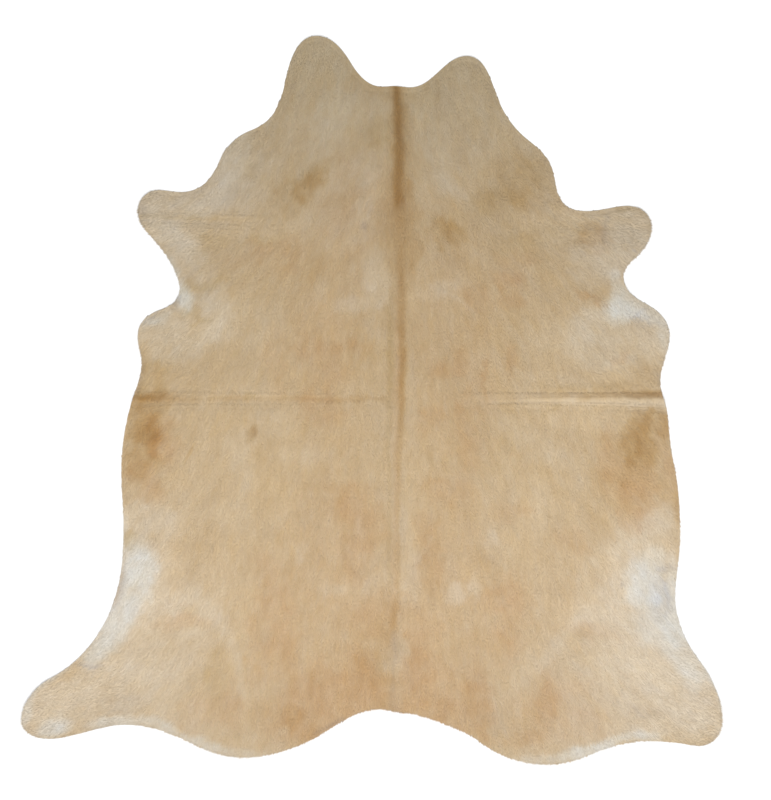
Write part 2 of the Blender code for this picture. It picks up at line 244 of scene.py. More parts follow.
# Soft oval patches of each tone: x, y, half length and half width in millimetres, the turn of the
# length from +X in degrees, and how strong the tone is
PATCHES = {
    "umber": (
        (-676, -92, 45, 26, 15, 0.26), (-373, -106, 24, 16, 60, 0.6), (-366, -86, 12, 9, 60, 0.35),
        (-288, 619, 10, 8, 0, 0.35), (78, 605, 26, 14, 70, 0.3), (783, -150, 60, 20, 85, 0.12),
    ),
    "brown": (
        (-672, -30, 60, 50, 0, 0.85), (-674, -95, 55, 45, 10, 0.8), (-650, -145, 70, 30, 95, 0.5),
        (-712, -190, 60, 42, 80, 0.5), (-630, 50, 50, 24, 90, 0.35), (-235, -955, 50, 35, 20, 0.45),
        (-190, 652, 55, 30, 50, 0.5), (430, 655, 100, 80, 90, 0.25), (660, 500, 60, 28, 8, 0.45),
        (226, 505, 50, 36, -15, 0.4), (128, 430, 50, 22, 90, 0.35), (130, 565, 40, 26, 90, 0.25),
        (815, -80, 52, 27, 90, 1.0), (780, -130, 95, 34, 85, 0.85), (825, -140, 70, 30, 92, 0.75),
        (872, -75, 40, 26, 95, 0.6), (105, 630, 40, 20, 120, 0.4), (0, -710, 100, 70, 90, 0.28),
        (36, -865, 80, 36, 90, 0.4), (0, 950, 70, 50, 0, 0.3), (915, -335, 50, 24, 90, 0.65),
    ),
    "rust": (
        (-120, 250, 420, 150, 90, 0.2), (-130, 240, 60, 50, 0, 0.25), (240, 150, 450, 150, 90, 0.2),
        (-120, -600, 420, 170, 90, 0.25), (240, -650, 380, 140, 90, 0.22),
        (-130, -940, 200, 110, 15, 0.65), (170, -960, 170, 120, 90, 0.85),
        (-40, 600, 160, 110, 90, 0.25), (-270, 430, 80, 50, 20, 0.35), (-350, 440, 70, 30, 10, 0.3),
        (-150, 150, 80, 50, -10, 0.55), (-60, 150, 50, 24, 0, 0.45), (-120, 70, 60, 40, 0, 0.35),
        (-140, -20, 80, 55, -20, 0.4), (-50, -310, 70, 60, 0, 0.6), (-110, -255, 70, 18, 0, 0.35),
        (0, -390, 60, 45, 90, 0.4), (-50, -460, 80, 55, 90, 0.45), (-275, -670, 180, 65, 95, 0.6),
        (-340, -780, 80, 45, 80, 0.45), (-360, -680, 50, 26, 90, 0.35),
        (-330, -500, 70, 45, 90, 0.3), (-410, -910, 80, 34, 90, 0.45),
        (-290, -930, 90, 60, 20, 0.3), (-140, -870, 130, 85, 0, 0.75),
        (-170, -985, 70, 26, 20, 0.6), (-20, -840, 100, 70, 100, 0.85),
        (-620, -120, 70, 50, 100, 0.8), (-665, -270, 60, 36, 90, 0.45),
        (-705, -220, 50, 45, 0, 0.4), (-490, -930, 90, 55, 10, 0.35), (-560, -665, 95, 20, 5, 0.4),
        (-290, 110, 110, 35, 90, 0.25), (220, 95, 55, 40, 0, 0.5), (265, 145, 32, 26, 30, 0.35),
        (340, 80, 70, 14, 92, 0.45), (420, 125, 50, 24, 90, 0.35), (412, 362, 52, 36, 10, 0.7),
        (440, 425, 60, 30, 0, 0.4), (310, 310, 45, 34, -20, 0.45), (430, 305, 55, 20, 5, 0.45),
        (660, 300, 50, 12, -22, 0.65), (670, 485, 60, 36, 0, 0.3), (255, -25, 24, 14, 0, 0.45),
        (170, -50, 50, 34, 10, 0.4), (280, -120, 110, 40, 92, 0.4), (230, -270, 80, 32, -8, 0.5),
        (420, -335, 70, 26, 0, 0.4), (710, -170, 90, 40, 80, 0.5), (760, -240, 70, 50, 0, 0.6),
        (815, -290, 90, 50, 100, 0.6), (780, -345, 60, 34, 90, 0.6), (885, -200, 120, 28, 95, 0.45),
        (170, -450, 110, 45, 90, 0.5), (390, -590, 70, 55, 10, 0.55), (415, -670, 130, 55, 80, 0.6),
        (200, -690, 50, 30, 90, 0.35), (200, -875, 60, 30, 90, 0.35),
        (150, -800, 140, 50, 92, 0.85), (30, -640, 110, 70, 0, 0.4), (320, -900, 130, 50, 95, 0.65),
        (330, -985, 60, 24, -25, 0.4), (525, -900, 100, 34, 82, 0.8),
        (540, -930, 150, 110, 20, 0.4), (460, -1020, 70, 24, 5, 0.5), (600, -420, 60, 30, -30, 0.3),
        (660, -690, 90, 26, -10, 0.35), (745, 120, 22, 18, 90, 0.4), (665, -965, 70, 35, -30, 0.3),
        (320, 20, 60, 60, 0, 0.2),
    ),
    "olive": (
        (-190, 665, 60, 45, 50, 0.5), (-160, 695, 40, 26, 30, 0.4), (-240, 605, 80, 50, 0, 0.25),
        (-350, 680, 60, 30, -40, 0.25), (18, 805, 65, 36, 80, 0.5), (440, 670, 110, 75, 10, 0.3),
        (350, 590, 90, 45, 10, 0.6), (230, 510, 60, 44, -15, 0.6), (470, 480, 70, 45, 0, 0.35),
        (400, 500, 70, 40, 80, 0.25), (620, 500, 100, 40, 8, 0.25), (760, 570, 45, 16, 5, 0.6),
        (550, 530, 50, 24, 90, 0.3), (-500, 340, 80, 22, 14, 0.6), (-525, 250, 50, 18, 10, 0.7),
        (-460, 480, 50, 30, 0, 0.4), (-480, 500, 30, 18, 40, 0.4), (-300, 480, 60, 30, 10, 0.3),
        (-190, 390, 60, 50, 60, 0.3), (-460, -830, 110, 34, 88, 0.35), (-680, 60, 80, 26, 80, 0.6),
        (-620, 80, 60, 22, 90, 0.45), (-730, -425, 24, 20, 0, 1.0), (540, -24, 22, 12, 10, 0.55),
        (400, -120, 30, 20, -30, 0.35), (0, 100, 100, 50, 90, 0.15), (-360, 12, 16, 12, 0, 0.55),
        (630, 30, 120, 22, 0, 0.35), (150, 950, 110, 55, 85, 0.25),
    ),
    "slate": (
        (66, -745, 55, 30, 90, 0.4), (-838, -794, 40, 8, -14, 0.9), (-585, 300, 32, 18, 95, 0.7),
        (700, 490, 22, 12, 60, 0.6), (-22, 525, 14, 12, 0, 0.7), (890, -502, 40, 12, 3, 0.8),
        (748, -555, 12, 7, 60, 0.7), (862, -600, 70, 32, 95, 0.55), (-700, 560, 50, 30, 90, 0.4),
        (820, -930, 70, 24, -12, 0.45), (800, -870, 50, 22, 0, 0.3), (-740, -910, 70, 30, 10, 0.3),
        (-100, -960, 9, 8, 0, 1.0), (783, 454, 6, 5, 0, 1.0), (-597, 511, 6, 5, 0, 0.6),
        (350, -470, 20, 14, 0, 0.35), (380, -960, 35, 40, 0, 0.35),
    ),
    "cream": (
        (900, -880, 240, 130, -25, 0.85), (735, -540, 200, 50, 90, 0.75),
        (620, -50, 150, 50, 0, 0.75), (580, 525, 130, 60, 0, 0.75), (610, -640, 60, 50, 0, 0.8),
        (800, -460, 50, 50, 0, 0.5), (750, -945, 60, 40, 0, 0.45), (730, 70, 70, 30, 0, 0.75),
        (830, 150, 50, 30, 0, 0.6), (860, 460, 50, 50, 0, 0.6), (340, -290, 80, 50, 90, 0.65),
        (450, -370, 140, 90, 90, 0.45), (-870, -860, 210, 70, 25, 0.75),
        (-670, -660, 140, 50, 55, 0.75), (-600, -500, 120, 40, 90, 0.75),
        # The patch at (-705, 512) is painted light that evens out the shade in the left foreleg crease
        (-490, 520, 250, 65, 0, 0.7), (-705, 512, 60, 40, 0, 1.0), (-280, -200, 70, 40, 90, 0.45),
        (-360, 30, 110, 30, 0, 0.5), (-150, 480, 60, 40, 0, 0.4),
    ),
    "pale": (
        (-520, 640, 200, 110, 20, 0.45), (-610, 430, 160, 100, -60, 0.5),
        (-600, 240, 140, 110, 0, 0.25), (730, 500, 160, 110, 0, 0.35), (780, 240, 120, 110, 0, 0.2),
        (830, -500, 200, 90, 90, 0.35), (790, -700, 200, 130, -60, 0.5),
        (895, -775, 110, 60, -45, 0.95), (795, -730, 60, 40, 0, 0.75),
        (990, -815, 60, 30, -55, 0.6), (940, -425, 50, 24, 90, 0.5),
        (760, -870, 240, 150, -20, 0.5), (640, -1000, 180, 70, 10, 0.4),
        (-720, -430, 110, 80, 90, 0.35), (-720, -600, 180, 110, 70, 0.35),
        (-620, -920, 200, 100, -10, 0.3), (-120, 860, 80, 60, 90, 0.4),
        (-160, 770, 90, 30, 90, 0.25), (-430, 700, 70, 55, 60, 0.75), (-470, 615, 90, 55, 20, 0.9),
        (-400, 770, 50, 30, 40, 0.5), (-465, 690, 50, 22, 60, 0.5), (-380, 620, 70, 60, 0, 0.35),
        (-630, 600, 90, 36, 0, 0.6), (-620, 560, 110, 80, 0, 0.4), (-600, 495, 100, 45, -48, 0.9),
        (-540, 440, 90, 50, -55, 0.45), (-120, 545, 100, 45, -10, 0.35),
        (-60, 480, 80, 30, 30, 0.3), (-25, 565, 45, 28, 70, 0.5), (-20, 690, 60, 40, 90, 0.4),
        (-100, 660, 60, 40, 20, 0.3), (20, 330, 70, 40, 60, 0.6), (-50, 290, 70, 26, 10, 0.5),
        (0, 400, 60, 40, 90, 0.3), (-470, 265, 100, 50, 100, 0.9), (-640, 215, 100, 50, 10, 0.8),
        (-560, 165, 120, 45, 20, 0.7), (-360, 230, 80, 60, 0, 0.25), (-190, -170, 90, 40, 0, 0.35),
        (-380, -210, 120, 32, 92, 0.3), (-400, -130, 50, 45, 0, 0.3), (-290, -60, 70, 36, -10, 0.3),
        (-430, -350, 90, 50, -30, 0.2), (-680, -365, 100, 50, -10, 0.8),
        (-600, -330, 80, 50, 40, 0.35), (-640, -560, 130, 50, 80, 0.3),
        (-640, -720, 240, 130, 30, 0.5), (-760, -880, 260, 110, 32, 0.6),
        (-600, -860, 100, 120, 0, 0.25), (-970, -940, 110, 80, 50, 0.65),
        (210, 720, 110, 50, 100, 0.25), (240, 630, 80, 30, -40, 0.45), (780, 510, 80, 70, 0, 0.5),
        (760, 480, 110, 100, 0, 0.55), (730, 420, 100, 55, -45, 0.8), (640, 400, 70, 60, 90, 0.5),
        (655, 225, 100, 50, 35, 0.8), (720, 145, 140, 60, 0, 0.75), (880, 170, 90, 45, 90, 0.8),
        (800, 215, 110, 60, -10, 0.85), (560, 190, 100, 60, 0, 0.35), (200, 330, 70, 26, 10, 0.35),
        (560, 60, 120, 26, -6, 0.25), (450, -100, 80, 45, -20, 0.35), (570, -175, 140, 30, 0, 0.3),
        (500, -290, 120, 28, 92, 0.25), (600, -240, 80, 26, 10, 0.2), (860, -370, 80, 55, 20, 0.95),
        (775, -450, 90, 60, 90, 0.9), (880, -460, 60, 40, 90, 0.6), (725, -620, 110, 70, 65, 0.95),
        (690, -500, 80, 60, 90, 0.4), (680, -840, 150, 120, 20, 0.4),
        (950, -920, 170, 90, -30, 0.85), (780, -780, 120, 90, -30, 0.5),
        (800, -992, 70, 26, 0, 0.9), (250, -575, 34, 28, 0, 0.9), (310, -550, 26, 30, 0, 0.75),
        (350, -410, 26, 26, 0, 0.55), (118, -530, 90, 32, 90, 0.35), (105, -380, 90, 20, 90, 0.3),
        (125, 0, 200, 18, 90, 0.2), (-120, -560, 45, 26, 0, 0.4), (-210, -460, 36, 20, 90, 0.4),
        (10, -545, 50, 30, 20, 0.3), (450, -830, 100, 40, 80, 0.2), (30, -885, 60, 24, 0, 0.35),
    ),
    "white": (
        (-560, 306, 60, 28, 105, 0.76), (-650, 250, 70, 22, 20, 0.35),
        (-592, 385, 50, 18, 105, 0.5), (-745, -385, 60, 16, 90, 0.3),
        (-697, -485, 70, 58, 90, 0.78), (-708, -565, 80, 50, 75, 0.7),
        (-765, -670, 90, 48, 58, 0.74), (-820, -745, 60, 40, 45, 0.62),
        (-945, -980, 50, 30, 15, 0.5), (-1035, -930, 60, 22, 70, 0.45),
        # The four thin patches on this line and the next, along the rump's rim, are painted light where
        # the rim faces the tail end
        (-760, -968, 90, 20, 5, 0.45), (-620, -985, 70, 22, -24, 0.5),
        (-500, -1030, 90, 18, -20, 0.5), (-400, -1058, 90, 16, 0, 0.3),
        (745, 285, 55, 45, 70, 0.84), (820, 262, 75, 34, -18, 0.6), (880, 200, 50, 24, 90, 0.3),
        (730, 360, 40, 20, 80, 0.4), (815, -560, 80, 56, 98, 0.74), (865, -610, 75, 42, 95, 0.72),
        (840, -690, 80, 44, -30, 0.5), (935, -785, 100, 36, -50, 0.45),
        (900, -590, 120, 28, 90, 0.6), (905, -690, 50, 34, -55, 0.8), (845, -495, 60, 40, 90, 0.45),
        # The three thin patches on this line and the next, along the rump's rim, are painted light where
        # the rim faces the tail end
        (650, -1048, 100, 22, 16, 0.72), (510, -1078, 90, 16, 0, 0.4),
        (790, -1010, 80, 16, 5, 0.45),
    ),
}

# Stripes: a tone, and the stations along it: x, y and half width in millimetres, and how strong the tone
# is there
STRIPES = {
    "spine, soft shade": ("brown", (
        (77, 940, 30, 0.65), (86, 740, 38, 0.62), (78, 620, 42, 0.72), (82, 560, 62, 0.65),
        (86, 470, 54, 0.5), (86, 380, 40, 0.4), (86, 220, 24, 0.3),
    )),
    "spine, dark line": ("umber", (
        (70, 940, 14, 0.62), (75, 860, 15, 0.68), (83, 780, 17, 0.58), (79, 690, 19, 0.6),
        (74, 620, 17, 0.48), (76, 560, 22, 0.16), (86, 460, 16, 0.12), (88, 330, 12, 0.14),
    )),
    "spine, right line": ("brown", (
        (90, 440, 14, 0.35), (90, 330, 14, 0.65), (91, 110, 15, 1.0), (89, -20, 12, 0.85),
        (86, -120, 10, 0.5), (80, -250, 8, 0.25), (79, -560, 8, 0.25),
    )),
    # Painted shade along the left side of the spine's ridge, in olive
    "spine, painted shade left of the ridge": ("olive", (
        (56, 330, 11, 0.2), (57, 240, 12, 0.8), (56, 110, 14, 1.0), (52, 0, 10, 0.6),
        (53, -200, 8, 0.4), (55, -580, 8, 0.35),
    )),
    "spine, warm core": ("rust", (
        (76, 330, 12, 0.0), (77, 120, 15, 0.45), (74, -50, 12, 0.35), (70, -560, 10, 0.25),
    )),
    "spine, lower end": ("brown", (
        (66, -575, 14, 0.0), (66, -610, 15, 0.6), (64, -675, 15, 0.65), (64, -700, 14, 0.0),
    )),
    "tail root": ("slate", (
        (66, -690, 10, 0.5), (68, -800, 7, 0.45), (64, -880, 10, 0.3), (64, -930, 18, 0.4),
    )),
    # Painted shade along the cross fold's left end, where it stands highest
    "cross fold, painted shade at the left end": ("umber", (
        (-725, 8, 15, 0.5), (-665, 12, 15, 0.85), (-600, 9, 21, 0.48), (-560, 9, 20, 0.2),
        (-510, 6, 14, 0.0),
    )),
    # Painted shade: a thin dark line along the crease of the cross fold's left half
    "cross fold, painted shade along the left crease": ("umber", (
        (-600, 2, 5, 0.3), (-500, 4, 4, 0.12), (-420, 9, 8, 0.3), (-250, 8, 7, 0.22),
        (-120, 6, 10, 0.38), (40, 4, 9, 0.32),
    )),
    # Painted light north of the left crease, that evens out the shade of the fold's north slope
    "cross fold, painted light north of the left crease": ("cream", (
        (-480, 24, 9, 0.2), (-360, 22, 10, 0.6), (-180, 20, 10, 0.6), (-140, 20, 8, 0.0),
    )),
    # Painted shade on the north slope of the cross fold's right half, darkest at its high end
    "cross fold, painted shade at the right end": ("brown", (
        (300, 12, 7, 0.0), (500, 16, 8, 0.05), (680, 16, 9, 0.15), (780, 18, 12, 0.55),
        (850, 19, 13, 0.85), (900, 19, 15, 1.0),
    )),
    "cross fold, right edge of the shade": ("slate", (
        (250, 12, 5, 0.0), (480, 15, 7, 0.65), (600, 15, 7, 0.7), (720, 14, 7, 0.45),
        (870, 15, 12, 0.95),
    )),
    "cross fold, lit right end": ("pale", (
        (360, 1, 8, 0.2), (540, -3, 11, 0.45), (720, -4, 14, 0.48), (870, -9, 20, 0.8),
    )),
    # Painted light at the south foot of the cross fold's right half, that evens out the shade there
    "cross fold, painted light at the foot of the lit end": ("cream", (
        (380, -22, 10, 0.0), (450, -16, 9, 0.85), (600, -15, 9, 0.85), (780, -16, 10, 1.0),
        (870, -22, 14, 1.0),
    )),
    # Painted light at the north foot of the cross fold's right half, that evens out the shade there
    "cross fold, painted light north of the right shade": ("cream", (
        (460, 24, 6, 0.0), (570, 24, 6, 0.5), (700, 24, 6, 0.4), (820, 24, 6, 0.0),
    )),
    "left foreleg crease": ("olive", (
        (-720, 552, 10, 0.45), (-560, 545, 9, 0.5), (-400, 545, 8, 0.4), (-200, 552, 6, 0.0),
    )),
    "right leg seam": ("slate", (
        (700, 580, 8, 0.0), (705, 540, 8, 0.45), (690, 490, 10, 0.45),
    )),
    "left thigh curve": ("pale", (
        (-650, -620, 40, 0.45), (-530, -580, 34, 0.5), (-460, -650, 30, 0.65),
        (-410, -760, 22, 0.4), (-385, -880, 18, 0.2),
    )),
    "right thigh curve": ("pale", (
        (660, -630, 34, 0.5), (590, -680, 26, 0.8), (530, -770, 26, 0.45), (450, -840, 24, 0.25),
    )),
    "right flank parting": ("slate", (
        (850, -520, 4, 0.0), (880, -550, 7, 0.9), (886, -600, 7, 0.95), (880, -655, 5, 0.6),
    )),
    "right leg rim": ("white", (
        (900, -520, 14, 0.4), (912, -640, 18, 0.75), (940, -705, 22, 0.9), (1000, -785, 24, 0.9),
        (1050, -880, 20, 0.5), (1062, -950, 20, 0.4),
    )),
    "left leg rim": ("white", (
        (-880, -765, 12, 0.2), (-915, -790, 18, 0.75), (-985, -845, 20, 0.65),
        (-1040, -890, 18, 0.45),
    )),
    "left flank rim": ("slate", (
        (-738, -470, 10, 0.0), (-748, -540, 20, 0.7), (-768, -600, 24, 0.85), (-800, -660, 12, 0.2),
    )),
    "rump rim": ("slate", (
        (-85, -952, 7, 0.8), (-110, -966, 9, 1.0), (-170, -996, 8, 0.7),
    )),
    "left flank edge of the white": ("pale", (
        (-640, -450, 12, 0.3), (-640, -540, 12, 0.45), (-700, -650, 14, 0.3),
    )),
    "left side scratch": ("brown", (
        (-530, -130, 4, 0.3), (-545, -155, 6, 0.55), (-560, -195, 4, 0.2),
    )),
    "left back scratch": ("pale", (
        (-285, -345, 5, 0.3), (-215, -460, 6, 0.35),
    )),
    "right armpit, first streak": ("slate", (
        (752, 232, 4, 0.2), (785, 250, 6, 0.85), (825, 275, 4, 0.5),
    )),
    "right armpit, second streak": ("slate", (
        (775, 226, 4, 0.4), (805, 237, 6, 0.75), (840, 252, 4, 0.3),
    )),
    "right elbow streak": ("slate", (
        (775, 214, 5, 0.2), (815, 221, 5, 0.6), (865, 232, 4, 0.3),
    )),
    "left armpit rim": ("slate", (
        (-578, 330, 4, 0.7), (-592, 292, 4, 1.0), (-640, 270, 4, 0.9), (-690, 230, 4, 0.6),
    )),
    "right shoulder streak": ("pale", (
        (160, 350, 6, 0.2), (280, 290, 6, 0.45), (330, 250, 5, 0.15),
    )),
    "left elbow rim": ("slate", (
        (-690, 150, 12, 0.0), (-690, 100, 16, 0.7), (-712, 20, 16, 0.6),
    )),
    "right elbow rim": ("slate", (
        (878, 120, 14, 0.0), (866, 60, 16, 0.6), (880, 10, 14, 0.5),
    )),
}

# Mottling of the coat: its size in metres, how far it goes to cream and to pink, and a seed, to which
# pink adds its own. Cream and pink are given by what they do to red, green and blue. Streaks are noise
# drawn out by a number of sizes, and divided by the spread that is left.
CREAM = (0.42, 0.55, 0.72)
PINK = (0.72, 0.26, -0.64)
MOTTLES = (
    (0.005, 4.0, 1.2, 31),
    (0.01, 6.2, 1.6, 32),
    (0.02, 6.2, 1.8, 33),
    (0.042, 4.6, 1.4, 34),
    (0.1, 2.8, 0.8, 35),
)
PINK_SEED = 40
STREAK_REACH = 1.1
STREAK_SPREAD = 0.7

# Noise: how many cells its table has each way, and how many its corner is shifted off the hide's middle
NOISE_CELLS = 256
NOISE_SHIFT = 64

# Materials: the noise values that count as low and high, the strength of the relief, and how much of
# the texture layout a piece takes up, with the margin around it
NOISE_MIDDLE = (0.3, 0.7)
BUMP_STRENGTH = 0.6
MAP_SHARE = 0.98
MAP_MARGIN = 0.01

# Floor: how far it reaches each way and how far it is below the hide, in metres
FLOOR_REACH = 40
FLOOR_GAP = 0.0002

# Light: the strength of the sky and of the key light, and the key light's elevation and width in degrees
SKY_STRENGTH = 0.85
KEY_STRENGTH = 1.5
KEY_ELEVATION = 50
KEY_SOFTNESS = 30

# Camera: straight above, its view in metres, and its lens and sensor in millimetres
VIEW_CENTRE = (0.0415, -0.0005)
VIEW_HEIGHT = 2.400
LENS = 85
SENSOR = 36


def underside_height(points):
    """How far the flesh side is off the floor at each point."""
    height = np.zeros(len(points))
    for rows in FOLDS.values():
        height += fold_height(points, rows)
    for swell in SWELLS.values():
        height += swell_height(points, swell)
    return height


def nearest_station(points, rows):
    """For each run between two stations: the values at the nearest place, and how far off it is."""
    rows = np.array(rows)
    for start, end in zip(rows[:-1], rows[1:]):
        run = end[:2] - start[:2]
        share = np.clip((points - start[:2]) @ run / (run @ run), 0.0, 1.0)
        nearest = start + share[:, None] * (end - start)
        yield nearest, np.linalg.norm(points - nearest[:, :2], axis=1)


def soft_crest(away):
    """1 in the middle and 0 from a distance of 1, like a rounded ridge."""
    return np.cos(np.minimum(away, 1.0) * math.pi / 2) ** 2


def fold_height(points, rows):
    """Height of one fold over each point: a rounded crest that runs out at both feet."""
    height = np.zeros(len(points))
    for nearest, distance in nearest_station(points, rows):
        height = np.maximum(height, nearest[:, 3] * soft_crest(distance / nearest[:, 2]))
    return height


def swell_height(points, swell):
    """Height of one swell over each point: highest at its centre, and none beyond its reach."""
    x, y, reach, height = swell
    return height * soft_crest(np.linalg.norm(points - (x, y), axis=1) / reach)


def eased(share):
    """A share from 0 to 1 with a soft start and a soft end."""
    return share * share * (3 - 2 * share)


def soft_noise(points, size, seed):
    """Smooth random values between -1 and 1 that change over about the given size."""
    table = np.random.default_rng(seed).uniform(-1.0, 1.0, (NOISE_CELLS, NOISE_CELLS))
    place = points / size + NOISE_SHIFT
    cell = np.floor(place).astype(int)
    part = eased(place - cell)
    column, row = cell.T % NOISE_CELLS
    next_column, next_row = (cell.T + 1) % NOISE_CELLS
    near = table[row, column] * (1 - part[:, 0]) + table[row, next_column] * part[:, 0]
    far = table[next_row, column] * (1 - part[:, 0]) + table[next_row, next_column] * part[:, 0]
    return near * (1 - part[:, 1]) + far * part[:, 1]


def hair_heading(points):
    """The way the hair lies at each point, as a unit vector: down the back, outwards at the sides."""
    side = np.where(points[:, 0] < SPINE_X, -1.0, 1.0)
    off_spine = np.abs(points[:, 0] - SPINE_X)
    weights = np.zeros(len(points))
    turns = np.zeros(len(points))
    for distance, y, turn in HAIR_TURNS:
        weight = 1 / ((off_spine - distance) ** 2 + (points[:, 1] - y) ** 2 + TURN_BLEND) ** 2
        weights += weight
        turns += weight * turn
    turn = np.radians(turns / weights) * side
    for most, size, seed in HAIR_WAVES:
        turn += np.radians(most) * soft_noise(points, size, seed)
    return np.column_stack([np.sin(turn), -np.cos(turn)])


def streaks(points, heading, size, seed):
    """Noise drawn out along the hair, from the mean of a few steps each way along it."""
    steps = np.array([-1.0, -0.5, 0.0, 0.5, 1.0]) * size * STREAK_REACH
    drawn = sum(soft_noise(points + heading * step, size, seed) for step in steps) / len(steps)
    return drawn / STREAK_SPREAD


def in_metres(row, sizes):
    """The row with its first few values, which are sizes in millimetres, as metres."""
    return (*(size / 1000 for size in row[:sizes]), *row[sizes:])


def patch_mask(points, oval):
    """1 inside a soft oval patch and 0 outside, with a wide fade."""
    x, y, long, short, turn = oval
    across = points - (x, y)
    angle = math.radians(turn)
    along = across @ np.array([math.cos(angle), math.sin(angle)]) / long
    aside = across @ np.array([-math.sin(angle), math.cos(angle)]) / short
    away = np.sqrt(along ** 2 + aside ** 2)
    return eased(np.clip(FADED_OUT - away, 0.0, 1.0))


def stripe_mask(points, rows):
    """How strongly a stripe shows at each point."""
    mask = np.zeros(len(points))
    for nearest, distance in nearest_station(points, rows):
        mask = np.maximum(mask, nearest[:, 3] * soft_crest(distance / (FADED_OUT * nearest[:, 2])))
    return mask


def wandered(points, reach):
    """The points moved about a little, so that what is painted over them gets uneven edges."""
    wide, fine = WANDER_SIZES
    moves = [
        soft_noise(points, wide, seed) + FINE_SHARE * soft_noise(points, fine, seed + 1)
        for seed in WANDER_SEEDS
    ]
    return points + reach * np.column_stack(moves)


def coat_tones(points):
    """The coat's colour at each point, as it shows in daylight, from 0 to 1, with the painted light and
    shade that some bands, patches and stripes carry.
    """
    # The bands carry painted light that grows towards the rump
    heights, bands = zip(*reversed(COAT_BANDS))
    tones = np.column_stack([np.interp(points[:, 1], heights, channel) for channel in zip(*bands)])
    bare = {tone: np.ones(len(points)) for tone in TONES}
    ragged = soft_noise(points, BREAK_SIZE, BREAK_SEED)
    for tone, patches in PATCHES.items():
        reach, variety = RAGGEDNESS[tone]
        uneven = wandered(points, reach)
        broken = BREAK_MIDDLE + variety * ragged
        for patch in patches:
            *oval, strength = in_metres(patch, 4)
            bare[tone] *= 1 - (strength * broken).clip(0, 1) * patch_mask(uneven, oval)
    uneven = wandered(points, STRIPE_WANDER)
    for tone, rows in STRIPES.values():
        bare[tone] *= 1 - stripe_mask(uneven, [in_metres(row, 3) for row in rows])
    for tone, shift in TONES.items():
        tones += (1 - bare[tone])[:, None] * np.array(shift)
    return (tones + mottling(points)).clip(0, 255) / 255


def mottling(points):
    """Small uneven differences along the hair: paler and deeper, and a little more or less pink."""
    heading = hair_heading(points)
    cream = np.zeros(len(points))
    pink = np.zeros(len(points))
    for size, to_cream, to_pink, seed in MOTTLES:
        cream += to_cream * streaks(points, heading, size, seed)
        pink += to_pink * streaks(points, heading, size, seed + PINK_SEED)
    return np.outer(cream, CREAM) + np.outer(pink, PINK)


def as_light(tones):
    """Daylight colours from 0 to 1 as amounts of light."""
    return np.where(tones <= 0.04045, tones / 12.92, ((tones + 0.055) / 1.055) ** 2.4)


def evenly_spaced(points, step):
    """The closed line through the points, walked in equal steps."""
    loop = np.vstack([points, points[:1]])
    along = np.concatenate([[0.0], np.cumsum(np.linalg.norm(np.diff(loop, axis=0), axis=1))])
    stops = np.linspace(0.0, along[-1], round(along[-1] / step), endpoint=False)
    return np.column_stack([np.interp(stops, along, loop[:, axis]) for axis in (0, 1)])


def frame_outline():
    """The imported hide's edge seen from above, as points in order anticlockwise."""
    body = bmesh.new()
    body.from_mesh(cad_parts["hide"].data)
    bmesh.ops.remove_doubles(body, verts=body.verts[:], dist=SAME_CORNER)
    body.normal_update()
    under = {face for face in body.faces if face.normal.z < FACING_DOWN}
    following = {}
    for edge in body.edges:
        sides = [face for face in edge.link_faces if face in under]
        if len(sides) == 1:
            loop = next(loop for loop in sides[0].loops if loop.edge == edge)
            following[loop.link_loop_next.vert] = loop.vert
    corner = next(iter(following))
    line = []
    for _ in range(len(following)):
        line.append(tuple(corner.co.xy))
        corner = following[corner]
    body.free()
    line = np.array(line)
    x, y = line.T
    turns_left = (x * np.roll(y, -1) - np.roll(x, -1) * y).sum() > 0
    return line if turns_left else line[::-1]


def outward(line):
    """For each point of the anticlockwise line, the unit vector that points out of the hide."""
    ahead = np.roll(line, -1, axis=0) - np.roll(line, 1, axis=0)
    ahead /= np.linalg.norm(ahead, axis=1)[:, None]
    return np.column_stack([ahead[:, 1], -ahead[:, 0]])


def points_within(line, step):
    """A staggered grid of points inside the closed line."""
    start, end = line, np.roll(line, -1, axis=0)
    rows = []
    low, high = line.min(axis=0), line.max(axis=0)
    for index, y in enumerate(np.arange(low[1] + step / 2, high[1], step * math.sqrt(3) / 2)):
        straddles = (start[:, 1] > y) != (end[:, 1] > y)
        share = (y - start[straddles, 1]) / (end[straddles, 1] - start[straddles, 1])
        crossings = np.sort(start[straddles, 0] + share * (end[straddles, 0] - start[straddles, 0]))
        columns = np.arange(low[0] + step / 2 * (index % 2), high[0], step)
        columns = columns[np.searchsorted(crossings, columns) % 2 == 1]
        rows.append(np.column_stack([columns, np.full(len(columns), y)]))
    return np.vstack(rows)


def nearest_on(line, points):
    """For each point, the number of the nearest point of the line and its distance."""
    tree = kdtree.KDTree(len(line))
    for index, (x, y) in enumerate(line):
        tree.insert((x, y, 0.0), index)
    tree.balance()
    found = [tree.find((x, y, 0.0)) for x, y in points]
    return np.array([index for _, index, _ in found]), np.array([distance for _, _, distance in found])


def on_fold(points):
    """Which points lie on a fold or at its foot."""
    height = np.zeros(len(points))
    for rows in FOLDS.values():
        height += fold_height(points, [(x, y, FOOT_REACH * half, crest) for x, y, half, crest in rows])
    return height > LEAST_HEIGHT


def filled(line, step, fold_step):
    """The area within the line as points, the line's own first, and triangles, finer on the folds."""
    grid, fine = points_within(line, step), points_within(line, fold_step)
    grid = np.vstack([grid[~on_fold(grid)], fine[on_fold(fine)]])
    grid = grid[nearest_on(line, grid)[1] > CLEARANCE * fold_step]
    points = np.vstack([line, grid])
    keep_inside = 1
    corners, _, faces, *_ = delaunay_2d_cdt(
        [Vector(point) for point in points], [], [list(range(len(line)))], keep_inside, SAME_POINT
    )
    return np.array([tuple(corner) for corner in corners]), np.array(faces)


